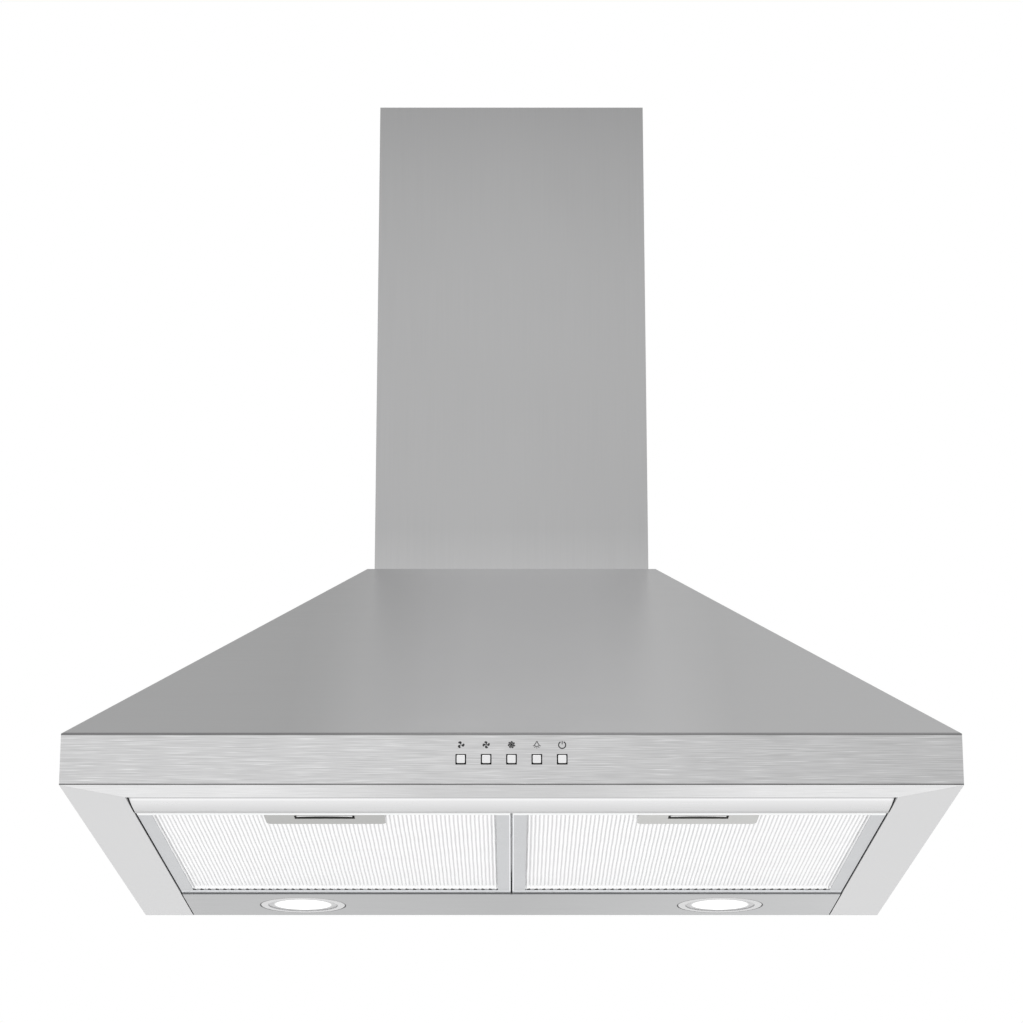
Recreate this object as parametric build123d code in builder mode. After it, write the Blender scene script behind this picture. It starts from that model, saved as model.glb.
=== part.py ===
from build123d import *
import os

# Canopy range hood for a wall: a hollow steel pyramid on a low band, a telescoping
# chimney above it, a double-inlet blower inside, two lift-out filters and two lamps below.
# The origin is on the wall plane at the middle of the underside: X runs to the right,
# Y runs from the room to the wall (the front is at minus the depth) and Z runs up.

os.makedirs("parts", exist_ok=True)

# Driving dimensions of the canopy
hood_width = 600.0
hood_depth = 500.0
band_height = 35.0
canopy_height = 235.6
top_margin = 5.3
sheet = 1.0
return_width = 39.0
lip_height = 12.0
fold_gap = 0.6
mitre_gap = 0.3
back_flange = 8.0
weld_flange = 10.0
band_flange = 8.0
overrun = 5.0

# Driving dimensions of the chimney
chimney_width = 213.0
chimney_depth = 200.0
chimney_height = 392.0
chimney_flange = 12.0
telescope_gap = 0.5
chimney_tab = 14.0
chimney_tab_gap = 7.25
upper_start = 9.7
upper_drop = 1.0

# Driving dimensions of the underside
rail_width = 53.5
rail_rise = 4.0
rail_base = 0.2
rail_middle_share = 0.4
rail_joint = 0.8
rail_lip_height = 11.4
guide_width = 11.0
centre_bar_width = 24.0
lamp_panel_depth = 94.0

# Driving dimensions of the grease filters
filter_side_gap = 0.7
filter_thickness = 9.0
filter_base = 1.2
filter_border = 10.0
filter_sheet = 0.8
filter_gap = 1.0
filter_centre_gap = 1.4
rib_count = 86
rib_height = 3.0
mesh_sheet = 0.45
mesh_inset = 0.5
tab_width = 26.0
tab_reach = 8.0
tab_thickness = 1.5
tab_clearance = 0.3
tab_place_share = 0.32

# Driving dimensions of the filter handles
handle_width = 84.0
handle_depth = 31.0
handle_radius = 4.0
slot_width = 42.0
slot_depth = 11.5
slot_setback = 2.0
pocket_width = 50.0
pocket_wall = 0.8
latch_width = 36.0
latch_sheet = 1.4
latch_base = 5.2
latch_travel = 6.0
latch_lip = 1.6
tongue_width = 14.0
tongue_clearance = 0.3

# Driving dimensions of the controls
button_pitch = 16.85
button_count = 5
button_height = 17.5
button_size = 5.6
button_hole = 7.0
button_radius = 0.8
button_proud = 1.0
button_travel = 2.5
cap_length = 6.0
stem_size = 4.5
stem_clearance = 0.5
switch_length = 92.0
switch_depth = 18.0
switch_height = 16.0
switch_setback = 3.0
well_size = 7.4
well_depth = 14.0
bracket_sheet = 1.2

# Driving dimensions of the lamps
lamp_spacing_share = 0.56
lamp_from_wall = 45.0
lamp_seat_gap = 0.3
bezel_radius = 34.35
lens_radius = 27.7
sleeve_radius = 28.5
sleeve_height = 13.0
lens_thickness = 1.6
bezel_face = 0.2
lamp_hole_gap = 0.3
cup_height = 16.0
fin_count = 4
fin_depth = 2.5
clip_width = 9.0
clip_reach = 11.0
clip_sheet = 0.6

# Driving dimensions of the blower
wheel_radius = 75.0
wheel_half_length = 72.0
blade_count = 36
blade_depth = 13.0
blade_sheet = 1.2
blade_angle = 32.0
wheel_ring = 3.0
hub_radius = 12.0
hub_half_length = 14.0
shaft_radius = 4.0
running_gap = 0.05
fan_height_share = 0.3096
scroll_start_radius = 84.0
scroll_step = 9.0
scroll_half_width = 90.0
scroll_wall = 1.5
inlet_hole_radius = 62.0
inlet_ring_radius = 74.0
inlet_throat_radius = 58.0
inlet_bell_length = 14.0
ring_sheet = 1.2
ring_bolt_radius = 68.0
ring_bolt_count = 3
screw_radius = 1.9
screw_hole_radius = 2.1
screw_head_radius = 3.5
screw_head_height = 2.2
socket_depth = 1.5
outlet_flange = 8.5

# Driving dimensions of the motor
motor_radius = 45.0
motor_start = 20.0
motor_wall = 3.0
bush_radius = 8.0
bush_length = 10.0
boss_wall = 4.0
drum_radius = 22.0
drum_length = 38.0
air_gap = 1.0
spider_sheet = 2.0
spider_arm = 14.0
spider_hub_share = 0.667
nut_width = 7.0
nut_radius = 9.0

# Driving dimensions of the outlet collar and its damper
collar_radius = 75.0
collar_wall = 1.8
collar_height = 50.0
collar_flange_half = 90.0
collar_flange_sheet = 2.0
pin_radius = 1.5
pin_height = 14.4
knuckle_radius = 3.0
knuckle_gap = 0.1
knuckle_length = 30.0
flap_sheet = 1.5
flap_clearance = 0.6
flap_setback = 3.4
ledge_width = 3.5
ledge_height = 1.7
end_play = 0.4

# Driving dimensions of the electrical pieces
box_width = 80.0
box_height = 50.0
box_depth = 34.0
box_wall = 2.0
box_place_share = 0.667
box_z = 40.0
gland_radius = 8.0
gland_bore = 4.5
gland_height = 14.0
gland_neck = 6.0
gland_cap_share = 0.8
capacitor_radius = 15.0
capacitor_height = 55.0
capacitor_place_share = -0.633
capacitor_z = 40.0
clamp_sheet = 1.8
clamp_height = 14.0
clamp_foot = 30.0
driver_width = 70.0
driver_height = 22.0
driver_depth = 28.0
driver_place_share = 0.0
driver_z = 40.0
driver_ear = 9.0
soft_edge = 1.5

# Driving dimensions of the wall fixings
wall_hole_radius = 3.5
wall_hole_spacing_x = 260.0
wall_hole_spacing_z = 110.0
wall_hole_z = 110.0
bracket_height = 25.0
bracket_hole_radius = 2.75
bracket_hole_spacing = 80.0
bracket_top_margin = 12.0

# Places worked out from the driving dimensions
half_width = hood_width / 2
front = -hood_depth
top_width = chimney_width + 2 * top_margin
top_depth = chimney_depth + top_margin
inner_half = half_width - return_width
fascia_back = front + sheet
rail_front = front + return_width + rail_joint
rail_rear = front + return_width + rail_width
filter_width = inner_half - filter_side_gap - filter_centre_gap / 2
filter_front = rail_rear + filter_gap
filter_rear = -lamp_panel_depth - rail_joint
filter_top = filter_base + filter_thickness
panel_front = -lamp_panel_depth
lamp_spacing = lamp_spacing_share * hood_width
box_x = box_place_share * half_width
capacitor_x = capacitor_place_share * half_width
driver_x = driver_place_share * half_width
panel_top = sheet
seat_top = panel_top + sheet
chimney_top = canopy_height + chimney_height
duct_y = -chimney_depth / 2
outlet_depth = scroll_start_radius + 2 * scroll_step + scroll_step
fan_y = duct_y - outlet_depth / 2 + scroll_step / 2
outlet_front = duct_y - outlet_depth / 2 + scroll_wall
outlet_back = duct_y + outlet_depth / 2 - scroll_wall
blower_screw_y = [outlet_front - outlet_flange / 2, outlet_back + outlet_flange / 2]
chimney_tab_front = -chimney_depth + sheet
chimney_tab_rear = blower_screw_y[0] - screw_head_radius - chimney_tab_gap
chimney_tab_y = (chimney_tab_front + chimney_tab_rear) / 2

# The fan's height shares out the room that its scroll leaves between the filters and the flat top
scroll_below = scroll_start_radius + scroll_step + scroll_step / 2
scroll_above = scroll_start_radius - scroll_step / 2
fan_floor = lip_height + 2 * sheet
fan_room = canopy_height - sheet - fan_floor - scroll_below - scroll_above
fan_z = fan_floor + fan_height_share * fan_room + scroll_below


def save(piece, name):
    """Label a finished piece and write it as its own STEP file."""
    piece.part.label = name
    export_step(piece.part, f"parts/{name}.step")


def block(x_limits, y_limits, z_limits, mode=Mode.ADD):
    """Add or cut a box that reaches between two limits along each axis."""
    limits = [sorted(pair) for pair in (x_limits, y_limits, z_limits)]
    middle = [(low + high) / 2 for low, high in limits]
    size = [high - low for low, high in limits]
    with Locations(tuple(middle)):
        Box(*size, mode=mode)


def pressed(plane, points, amount):
    """Extrude a closed outline of straight lines from its plane."""
    with BuildSketch(plane) as outline:
        with BuildLine():
            Polyline(*points, close=True)
        make_face()
    extrude(outline.sketch, amount=amount)


def turned(plane, points):
    """Turn a closed outline of (along, radius) points about the plane's own X axis."""
    with BuildSketch(plane) as outline:
        with BuildLine():
            Polyline(*points, close=True)
        make_face()
    revolve(outline.sketch, axis=Axis(plane.origin, plane.x_dir))


def round_hole(plane, radius, amount):
    """Cut a round hole from a plane's origin, half of it on each side of the plane."""
    with BuildSketch(plane) as outline:
        Circle(radius)
    extrude(outline.sketch, amount=amount, both=True, mode=Mode.SUBTRACT)


# Canopy shell: the pyramid, the side bands, their bottom returns and the lips at the filters
with BuildPart() as canopy_shell:
    with BuildSketch(Plane.XY.offset(band_height)):
        Rectangle(hood_width, hood_depth, align=(Align.CENTER, Align.MAX))
    with BuildSketch(Plane.XY.offset(canopy_height)):
        Rectangle(top_width, top_depth, align=(Align.CENTER, Align.MAX))
    loft()
    block((-half_width, half_width), (front, 0), (0, band_height))
    underside = canopy_shell.faces().group_by(Axis.Z)[0]
    back = canopy_shell.faces().group_by(Axis.Y)[-1]
    offset(amount=-sheet, openings=underside + back)
    # The front of the band makes room for the fascia, and the back for the back plate
    wide = half_width + overrun
    block((-wide, wide), (front - overrun, fascia_back), (-overrun, band_height - fold_gap), Mode.SUBTRACT)
    block((-wide, wide), (-sheet, overrun), (-overrun, canopy_height + overrun), Mode.SUBTRACT)
    # A flange behind the fascia carries it
    flange_top = band_height + sheet / 2
    flange_half = half_width - sheet
    flange_z = (band_height - band_flange, flange_top)
    block((-flange_half, flange_half), (fascia_back, fascia_back + sheet), flange_z)
    for side in (-1, 1):
        return_outline = [
            (side * half_width, fascia_back),
            (side * (half_width - sheet + mitre_gap), fascia_back),
            (side * inner_half, front + return_width + mitre_gap),
            (side * inner_half, -sheet),
            (side * half_width, -sheet),
        ]
        pressed(Plane.XY, return_outline, sheet)
        lip_front = front + return_width + mitre_gap + sheet
        block((side * inner_half, side * (inner_half + sheet)), (lip_front, -sheet), (0, lip_height))
    # The flat top is open above the blower and drilled for the blower and the chimney
    outlet_half = scroll_half_width - scroll_wall
    top_limits = (canopy_height - overrun, canopy_height + overrun)
    block((-outlet_half, outlet_half), (outlet_front, outlet_back), top_limits, Mode.SUBTRACT)
    blower_screw_x = scroll_half_width + outlet_flange / 2
    chimney_screw_x = chimney_width / 2 - sheet - chimney_tab / 2
    blower_screw_places = [(side * blower_screw_x, y) for side in (-1, 1) for y in blower_screw_y]
    chimney_screw_places = [(side * chimney_screw_x, chimney_tab_y) for side in (-1, 1)]
    for x, y in blower_screw_places + chimney_screw_places:
        round_hole(Plane((x, y, canopy_height)), screw_hole_radius, overrun)
save(canopy_shell, "canopy_shell")

# Front fascia: face, bottom return with mitred ends, rear lip and five square button holes
button_places = [(i - (button_count - 1) / 2) * button_pitch for i in range(button_count)]
with BuildPart() as front_fascia:
    block((-half_width, half_width), (front, fascia_back), (0, band_height - fold_gap))
    front_return = [
        (-half_width + sheet, fascia_back),
        (half_width - sheet, fascia_back),
        (inner_half, front + return_width),
        (-inner_half, front + return_width),
    ]
    pressed(Plane.XY, front_return, sheet)
    block((-inner_half, inner_half), (front + return_width - sheet, front + return_width), (0, lip_height))
    with BuildSketch(Plane.XZ.offset(hood_depth)):
        with Locations(*[(x, button_height) for x in button_places]):
            RectangleRounded(button_hole, button_hole, button_radius)
    extrude(amount=-(sheet + overrun), mode=Mode.SUBTRACT)
save(front_fascia, "front_fascia")

# Back plate: the pyramid's back wall with four wall holes and a flange over the lamp panel
with BuildPart() as back_plate:
    wall_outline = [
        (-half_width, 0),
        (half_width, 0),
        (half_width, band_height),
        (top_width / 2, canopy_height),
        (-top_width / 2, canopy_height),
        (-half_width, band_height),
    ]
    pressed(Plane.XZ, wall_outline, sheet)
    flange_half = inner_half - rail_joint - sheet - mitre_gap
    block((-flange_half, flange_half), (-back_flange, -sheet), (panel_top, panel_top + sheet))
    with Locations(Plane.XZ):
        with Locations((0, wall_hole_z)):
            with GridLocations(wall_hole_spacing_x, wall_hole_spacing_z, 2, 2):
                Hole(wall_hole_radius)
save(back_plate, "back_plate")

# Front rail: the rolled strip between the fascia and the filters, with two catch slots
filter_x = (filter_width + filter_centre_gap) / 2
with BuildPart() as front_rail:
    with BuildSketch(Plane.YZ.offset(-inner_half + rail_joint)):
        with BuildLine():
            rail_span = rail_rear - rail_front
            middle_y = rail_front + rail_middle_share * rail_span
            middle_z = rail_base + (rail_rise - rail_base) * (1 - rail_middle_share) ** 2
            ThreePointArc((rail_front, rail_rise), (middle_y, middle_z), (rail_rear, rail_base))
            Line((rail_rear, rail_base), (rail_rear, rail_lip_height))
            Line((rail_rear, rail_lip_height), (rail_rear - sheet, rail_lip_height))
            Line((rail_rear - sheet, rail_lip_height), (rail_rear - sheet, rail_base + sheet))
            upper_middle = (middle_y, middle_z + sheet)
            upper_end = (rail_front + sheet, rail_rise + sheet)
            ThreePointArc((rail_rear - sheet, rail_base + sheet), upper_middle, upper_end)
            Polyline(
                (rail_front + sheet, rail_rise + sheet),
                (rail_front + sheet, lip_height + sheet),
                (rail_front - rail_joint - sheet, lip_height + sheet),
                (rail_front - rail_joint - sheet, lip_height),
                (rail_front, lip_height),
                (rail_front, rail_rise),
            )
        make_face()
    extrude(amount=2 * (inner_half - rail_joint))
    for side in (-1, 1):
        catch_x = (side * filter_x - tongue_width / 2 - sheet, side * filter_x + tongue_width / 2 + sheet)
        catch_z = (latch_base - sheet, latch_base + latch_sheet + sheet)
        block(catch_x, (rail_rear - 2 * sheet, rail_rear + sheet), catch_z, Mode.SUBTRACT)
save(front_rail, "front_rail")

# Lamp panel: the strip between the filters and the wall, turned up at its two ends and
# dished around each lamp, so that the bezels lie flush
panel_half = inner_half - rail_joint
seat_radius = bezel_radius + lamp_seat_gap
with BuildPart() as lamp_panel:
    block((-panel_half, panel_half), (panel_front, -sheet), (0, panel_top))
    for side in (-1, 1):
        block((side * panel_half, side * (panel_half - sheet)), (panel_front, -sheet), (0, lip_height))
        seat_plane = Plane((side * lamp_spacing / 2, -lamp_from_wall, panel_top))
        round_hole(seat_plane, seat_radius, sheet)
        with BuildSketch(seat_plane) as seat:
            Circle(seat_radius + sheet)
            Circle(sleeve_radius + lamp_hole_gap, mode=Mode.SUBTRACT)
        extrude(seat.sketch, amount=sheet)
save(lamp_panel, "lamp_panel")

# Filter guides: angles on the side returns that keep the filters from lifting
guide_front = rail_front + 2 * sheet
for side, name in ((-1, "filter_guide_left"), (1, "filter_guide_right")):
    with BuildPart() as filter_guide:
        web = inner_half + sheet
        web_outer = web + sheet
        guide_y = (guide_front, panel_front)
        block((side * web, side * web_outer), guide_y, (sheet, lip_height + sheet))
        block((side * web_outer, side * (web_outer - guide_width)), guide_y, (lip_height, lip_height + sheet))
    save(filter_guide, name)

# Filter centre bar: a strip from the front rail to the lamp panel, over the joint of the filters
with BuildPart() as filter_centre_bar:
    bar_half = centre_bar_width / 2
    bar_z = lip_height + sheet
    bar_front = rail_front - rail_joint - sheet
    leg_y = panel_front + centre_bar_width / 2
    block((-bar_half, bar_half), (bar_front, leg_y), (bar_z, bar_z + sheet))
    block((-bar_half, bar_half), (leg_y - sheet, leg_y), (panel_top, bar_z + sheet))
    block((-bar_half, bar_half), (leg_y - sheet, leg_y + weld_flange), (panel_top, panel_top + sheet))
save(filter_centre_bar, "filter_centre_bar")


def channel_outline(half, front_y, turned_in):
    """Outline of a three-sided chimney cover seen from above, open at the wall."""
    return [
        (-half, 0),
        (-half, front_y),
        (half, front_y),
        (half, 0),
        (half - turned_in, 0),
        (half - turned_in, -sheet),
        (half - sheet, -sheet),
        (half - sheet, front_y + sheet),
        (-half + sheet, front_y + sheet),
        (-half + sheet, -sheet),
        (-half + turned_in, -sheet),
        (-half + turned_in, 0),
    ]


# Lower chimney cover, standing on the flat top and screwed to it through two tabs
with BuildPart() as chimney_lower:
    lower_outline = channel_outline(chimney_width / 2, -chimney_depth, chimney_flange)
    pressed(Plane.XY.offset(canopy_height), lower_outline, chimney_height)
    tab_outer = chimney_width / 2 - sheet
    for side in (-1, 1):
        tab_x = (side * tab_outer, side * (tab_outer - chimney_tab))
        block(tab_x, (chimney_tab_front, chimney_tab_rear), (canopy_height, canopy_height + sheet))
        round_hole(Plane((side * chimney_screw_x, chimney_tab_y, canopy_height)), screw_hole_radius, overrun)
    # A tab inside the front wall is the stop on which the upper cover rests
    stop_top = canopy_height + upper_start - telescope_gap
    stop_y = (-chimney_depth + sheet, -chimney_depth + sheet + weld_flange)
    block((-chimney_tab, chimney_tab), stop_y, (stop_top - sheet, stop_top))
save(chimney_lower, "chimney_lower")

# Upper chimney cover, which slides up out of the lower one
upper_half = chimney_width / 2 - sheet - telescope_gap
upper_back = -sheet - telescope_gap
upper_top = chimney_top - upper_drop
screw_x = upper_half - chimney_flange / 2
strip_top = upper_top - bracket_top_margin
strip_z = strip_top - bracket_height / 2
with BuildPart() as chimney_upper:
    upper_front = -chimney_depth + sheet + telescope_gap - upper_back
    upper_plane = Plane((0, upper_back, canopy_height + upper_start))
    upper_outline = channel_outline(upper_half, upper_front, chimney_flange)
    pressed(upper_plane, upper_outline, upper_top - canopy_height - upper_start)
    for side in (-1, 1):
        flange_plane = Plane((side * screw_x, upper_back, strip_z), z_dir=(0, 1, 0))
        round_hole(flange_plane, screw_hole_radius, overrun)
save(chimney_upper, "chimney_upper")

# Ceiling bracket: the strip that holds the upper cover's back flanges to the wall
strip_back = upper_back - sheet
with BuildPart() as ceiling_bracket:
    strip_half = upper_half - sheet - telescope_gap
    strip_y = (strip_back - bracket_sheet, strip_back)
    block((-strip_half, strip_half), strip_y, (strip_top - bracket_height, strip_top))
    for side in (-1, 1):
        round_hole(Plane((side * screw_x, strip_back, strip_z), z_dir=(0, 1, 0)), screw_hole_radius, overrun)
        wall_x = side * bracket_hole_spacing / 2
        round_hole(Plane((wall_x, strip_back, strip_z), z_dir=(0, 1, 0)), bracket_hole_radius, overrun)
save(ceiling_bracket, "ceiling_bracket")


def screw(plane, shank_length):
    """Add a pan-head screw whose head stands on the plane and whose shank goes below it."""
    with BuildSketch(plane) as head:
        Circle(screw_head_radius)
        RegularPolygon(screw_head_radius / 2, 6, mode=Mode.SUBTRACT)
    extrude(head.sketch, amount=screw_head_height)
    with BuildSketch(plane) as shank:
        Circle(screw_radius)
    extrude(shank.sketch, amount=-shank_length)
    with BuildSketch(plane) as web_face:
        Circle(screw_head_radius)
    extrude(web_face.sketch, amount=screw_head_height - socket_depth)


# Screws of the chimney, of the ceiling bracket and of the blower
with BuildPart() as chimney_screws:
    for x, y in chimney_screw_places:
        screw(Plane((x, y, canopy_height + sheet)), 2 * sheet + overrun)
save(chimney_screws, "chimney_screws")

with BuildPart() as bracket_screws:
    for side in (-1, 1):
        head_plane = Plane((side * screw_x, strip_back - bracket_sheet, strip_z), z_dir=(0, -1, 0))
        screw(head_plane, bracket_sheet + sheet)
save(bracket_screws, "bracket_screws")

with BuildPart() as blower_screws:
    for x, y in blower_screw_places:
        screw(Plane((x, y, canopy_height)), sheet + ring_sheet + overrun)
save(blower_screws, "blower_screws")

# Blower housing: two halves of a scroll whose radius grows by one step at each quarter turn
scroll_plane = Plane((0, fan_y, fan_z), x_dir=(0, 1, 0), z_dir=(1, 0, 0))
outlet_top = canopy_height - sheet - fan_z


def scroll_outline(inset, top):
    """Sketch the scroll from its tongue round to the outlet, moved inwards by an inset."""
    shift = scroll_step / 2
    radii = [scroll_start_radius + i * scroll_step - inset for i in range(3)]
    centres = [(-shift, -shift), (shift, -shift), (shift, shift)]
    tongue = (-shift + inset, top)
    left = (centres[0][0] - radii[0], centres[0][1])
    bottom = (centres[1][0], centres[1][1] - radii[1])
    right = (centres[2][0] + radii[2], centres[2][1])
    crown = (-shift, centres[0][1] + radii[0])
    with BuildSketch(scroll_plane) as outline:
        with BuildLine():
            Line(tongue, (tongue[0], crown[1]))
            if inset:
                Line((tongue[0], crown[1]), crown)
            RadiusArc(crown, left, -radii[0])
            RadiusArc(left, bottom, -radii[1])
            RadiusArc(bottom, right, -radii[2])
            Line(right, (right[0], top))
            Line((right[0], top), tongue)
        make_face()
    return outline.sketch


for side, name in ((-1, "blower_housing_left"), (1, "blower_housing_right")):
    with BuildPart() as blower_housing:
        extrude(scroll_outline(0, outlet_top), amount=side * scroll_half_width)
        flange_y = (outlet_front - scroll_wall - outlet_flange, outlet_back + scroll_wall + outlet_flange)
        flange_z = (canopy_height - sheet - ring_sheet, canopy_height - sheet)
        block((0, side * (scroll_half_width + outlet_flange)), flange_y, flange_z)
        inner = scroll_outline(scroll_wall, outlet_top + overrun)
        extrude(inner, amount=side * (scroll_half_width - scroll_wall), mode=Mode.SUBTRACT)
        side_plane = scroll_plane.offset(side * scroll_half_width)
        round_hole(side_plane, inlet_hole_radius, overrun)
        with BuildSketch(side_plane) as bolt_holes:
            with PolarLocations(ring_bolt_radius, ring_bolt_count, start_angle=90):
                Circle(screw_hole_radius)
        extrude(bolt_holes.sketch, amount=overrun, both=True, mode=Mode.SUBTRACT)
        for y in blower_screw_y:
            round_hole(Plane((side * blower_screw_x, y, canopy_height - sheet)), screw_hole_radius, overrun)
    save(blower_housing, name)


def fan_side(side):
    """Plane along the fan's axis whose X points outwards on the given side and whose Y is up."""
    return Plane((0, fan_y, fan_z), x_dir=(side, 0, 0), z_dir=(0, -side, 0))


# Inlet rings: bell mouths on the two sides of the housing
for side, name in ((-1, "inlet_ring_left"), (1, "inlet_ring_right")):
    with BuildPart() as inlet_ring:
        flare = inlet_hole_radius - inlet_throat_radius
        ring_outline = [
            (scroll_half_width + ring_sheet, inlet_hole_radius - ring_sheet),
            (scroll_half_width + ring_sheet, inlet_ring_radius),
            (scroll_half_width, inlet_ring_radius),
            (scroll_half_width, inlet_hole_radius - ring_sheet / 2),
            (scroll_half_width - inlet_bell_length / 3, inlet_hole_radius - flare / 2),
            (scroll_half_width - inlet_bell_length, inlet_throat_radius + ring_sheet),
            (scroll_half_width - inlet_bell_length, inlet_throat_radius),
            (scroll_half_width - inlet_bell_length / 3, inlet_hole_radius - flare / 2 - ring_sheet),
        ]
        turned(fan_side(side), ring_outline)
        with BuildSketch(scroll_plane.offset(side * scroll_half_width)) as bolt_holes:
            with PolarLocations(ring_bolt_radius, ring_bolt_count, start_angle=90):
                Circle(screw_hole_radius)
        extrude(bolt_holes.sketch, amount=overrun, both=True, mode=Mode.SUBTRACT)
    save(inlet_ring, name)

# Impeller: a double-width wheel of forward-curved blades on a centre disc and hub
fan_plane = fan_side(1)
with BuildPart() as impeller:
    with BuildSketch(scroll_plane):
        with PolarLocations(wheel_radius - blade_depth / 2, blade_count):
            Rectangle(blade_depth, blade_sheet, rotation=blade_angle)
    extrude(amount=wheel_half_length, both=True)
    disc_half = blade_sheet
    wheel_inner = wheel_radius - blade_depth
    hub_outline = [
        (-hub_half_length, shaft_radius + running_gap),
        (hub_half_length, shaft_radius + running_gap),
        (hub_half_length, hub_radius),
        (disc_half, hub_radius),
        (disc_half, wheel_radius),
        (-disc_half, wheel_radius),
        (-disc_half, hub_radius),
        (-hub_half_length, hub_radius),
    ]
    turned(fan_plane, hub_outline)
    for end in (-1, 1):
        ring_limits = (end * wheel_half_length, end * (wheel_half_length - wheel_ring))
        end_ring = [
            (ring_limits[0], wheel_inner - blade_sheet),
            (ring_limits[1], wheel_inner - blade_sheet),
            (ring_limits[1], wheel_radius),
            (ring_limits[0], wheel_radius),
        ]
        turned(fan_plane, end_ring)
save(impeller, "impeller")

# Motor: can, wound stator, rotor on its shaft, two bushes and the three-armed holder
motor_end = scroll_half_width + ring_sheet
drum_middle = (motor_start + motor_end) / 2
boss_radius = bush_radius + boss_wall
with BuildPart() as motor_body:
    can_outline = [
        (motor_start, bush_radius),
        (motor_start, motor_radius),
        (motor_end, motor_radius),
        (motor_end, bush_radius),
        (motor_end - bush_length, bush_radius),
        (motor_end - bush_length, boss_radius),
        (motor_end - motor_wall, boss_radius),
        (motor_end - motor_wall, motor_radius - motor_wall),
        (motor_start + motor_wall, motor_radius - motor_wall),
        (motor_start + motor_wall, boss_radius),
        (motor_start + bush_length, boss_radius),
        (motor_start + bush_length, bush_radius),
    ]
    turned(fan_plane, can_outline)
save(motor_body, "motor_body")

with BuildPart() as motor_stator:
    stator_half = drum_length / 2 - air_gap
    stator_outline = [
        (drum_middle - stator_half, drum_radius + air_gap),
        (drum_middle + stator_half, drum_radius + air_gap),
        (drum_middle + stator_half, motor_radius - motor_wall),
        (drum_middle - stator_half, motor_radius - motor_wall),
    ]
    turned(fan_plane, stator_outline)
save(motor_stator, "motor_stator")

with BuildPart() as motor_rotor:
    shaft_end = motor_end - overrun
    shaft_start = -hub_half_length - nut_width - shaft_radius / 2
    rotor_outline = [
        (shaft_start, 0),
        (shaft_end, 0),
        (shaft_end, shaft_radius),
        (drum_middle + drum_length / 2, shaft_radius),
        (drum_middle + drum_length / 2, drum_radius),
        (drum_middle - drum_length / 2, drum_radius),
        (drum_middle - drum_length / 2, shaft_radius),
        (shaft_start, shaft_radius),
    ]
    turned(fan_plane, rotor_outline)
save(motor_rotor, "motor_rotor")

with BuildPart() as motor_bushes:
    for start in (motor_start, motor_end - bush_length):
        bush_outline = [
            (start, shaft_radius + running_gap),
            (start + bush_length, shaft_radius + running_gap),
            (start + bush_length, bush_radius),
            (start, bush_radius),
        ]
        turned(fan_plane, bush_outline)
save(motor_bushes, "motor_bushes")

with BuildPart() as motor_holder:
    with BuildSketch(scroll_plane.offset(motor_end)):
        Circle(motor_radius * spider_hub_share)
        with PolarLocations(ring_bolt_radius / 2, ring_bolt_count, start_angle=90):
            Rectangle(ring_bolt_radius + screw_head_radius, spider_arm)
        with PolarLocations(ring_bolt_radius, ring_bolt_count, start_angle=90):
            Circle(spider_arm / 2)
        with PolarLocations(ring_bolt_radius, ring_bolt_count, start_angle=90):
            Circle(screw_hole_radius, mode=Mode.SUBTRACT)
    extrude(amount=spider_sheet)
save(motor_holder, "motor_holder")

with BuildPart() as inlet_screws:
    for side, stand in ((-1, ring_sheet), (1, ring_sheet + spider_sheet)):
        head_plane = Plane(
            (side * (scroll_half_width + stand), fan_y, fan_z), x_dir=(0, 1, 0), z_dir=(side, 0, 0)
        )
        with BuildSketch(head_plane) as heads:
            with PolarLocations(ring_bolt_radius, ring_bolt_count, start_angle=side * 90):
                Circle(screw_head_radius)
        extrude(heads.sketch, amount=screw_head_height)
        with BuildSketch(head_plane) as shanks:
            with PolarLocations(ring_bolt_radius, ring_bolt_count, start_angle=side * 90):
                Circle(screw_radius)
        extrude(shanks.sketch, amount=-(stand + scroll_wall + sheet))
save(inlet_screws, "inlet_screws")

with BuildPart() as wheel_nut:
    with BuildSketch(scroll_plane.offset(-hub_half_length)):
        RegularPolygon(nut_radius, 6)
        Circle(shaft_radius + running_gap, mode=Mode.SUBTRACT)
    extrude(amount=-nut_width)
save(wheel_nut, "wheel_nut")

# Outlet collar for a round duct, with a flange on the flat top and a ledge for the flaps
duct_origin = (0, duct_y, canopy_height)
pin_z = canopy_height + pin_height
collar_bore = collar_radius - collar_wall
with BuildPart() as outlet_collar:
    with BuildSketch(Plane(duct_origin)):
        Rectangle(2 * collar_flange_half, 2 * (collar_radius + overrun))
    extrude(amount=collar_flange_sheet)
    with BuildSketch(Plane(duct_origin)):
        Circle(collar_radius)
    extrude(amount=collar_height)
    with BuildSketch(Plane(duct_origin)):
        Circle(collar_bore)
    extrude(amount=collar_height, mode=Mode.SUBTRACT)
    ledge_top = pin_height - flap_sheet - tab_clearance
    with BuildSketch(Plane(duct_origin).offset(ledge_top - ledge_height)):
        Circle(collar_bore)
        Circle(collar_bore - ledge_width, mode=Mode.SUBTRACT)
    extrude(amount=ledge_height)
    round_hole(Plane((0, duct_y, pin_z), z_dir=(1, 0, 0)), pin_radius, collar_radius + overrun)
save(outlet_collar, "outlet_collar")

with BuildPart() as damper_pin:
    with BuildSketch(Plane((0, duct_y, pin_z), z_dir=(1, 0, 0))):
        Circle(pin_radius)
    extrude(amount=collar_radius, both=True)
save(damper_pin, "damper_pin")

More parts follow.
